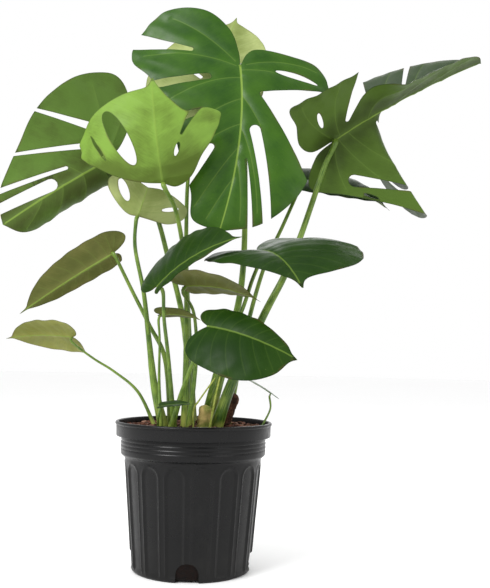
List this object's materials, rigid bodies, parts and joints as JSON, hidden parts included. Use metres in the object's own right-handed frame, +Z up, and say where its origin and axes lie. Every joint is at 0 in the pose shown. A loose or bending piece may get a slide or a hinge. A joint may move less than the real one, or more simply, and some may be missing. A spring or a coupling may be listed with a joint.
{
  "type": "potted monstera plant",
  "caption": "Bushy young split-leaf plant with large cut and whole leaves on sheathed stalks, in a fluted black nursery pot.",
  "frame": {"origin": "centre of the pot's underside", "axes": "+Z up, +X to the right and -Y towards the viewer, on the side where the largest leaf faces"},
  "size_m": [0.7591, 0.4339, 0.9338],
  "materials": {
    "leaf_mid": "satin",
    "leaf_dark": "satin",
    "leaf_bright": "satin",
    "leaf_olive": "satin",
    "stalk": "satin",
    "root": "matte",
    "stem_bark": "matte",
    "soil": "rough, loose bark mix",
    "pot": "satin, moulded"
  },
  "bodies": {
    "root": {"blade_centre": "leaf_mid", "blade_curled": "leaf_bright", "blade_inner": "leaf_olive", "blade_inner_small": "leaf_olive", "blade_left": "leaf_mid", "blade_left_hanging": "leaf_olive", "blade_left_low": "leaf_olive", "blade_left_middle": "leaf_dark", "blade_rear": "leaf_olive", "blade_right": "leaf_mid", "blade_right_low": "leaf_dark", "blade_right_middle": "leaf_dark", "blade_right_rear": "leaf_dark", "blade_seedling_front": "leaf_dark", "blade_seedling_right": "leaf_mid", "blade_small_split": "leaf_bright", "pot": "pot", "root_front_left": "root", "root_front_right": "root", "soil": "soil", "stalk_centre": "stalk", "stalk_curled": "stalk", "stalk_inner": "stalk", "stalk_inner_small": "stalk", "stalk_left": "stalk", "stalk_left_hanging": "stalk", "stalk_left_low": "stalk", "stalk_left_middle": "stalk", "stalk_rear": "stalk", "stalk_right": "stalk", "stalk_right_low": "stalk", "stalk_right_middle": "stalk", "stalk_right_rear": "stalk", "stalk_seedling_front": "stalk", "stalk_seedling_right": "stalk", "stalk_small_split": "stalk", "stem_right": "stem_bark", "stem_stub": "stem_bark"}
  },
  "joints": []
}
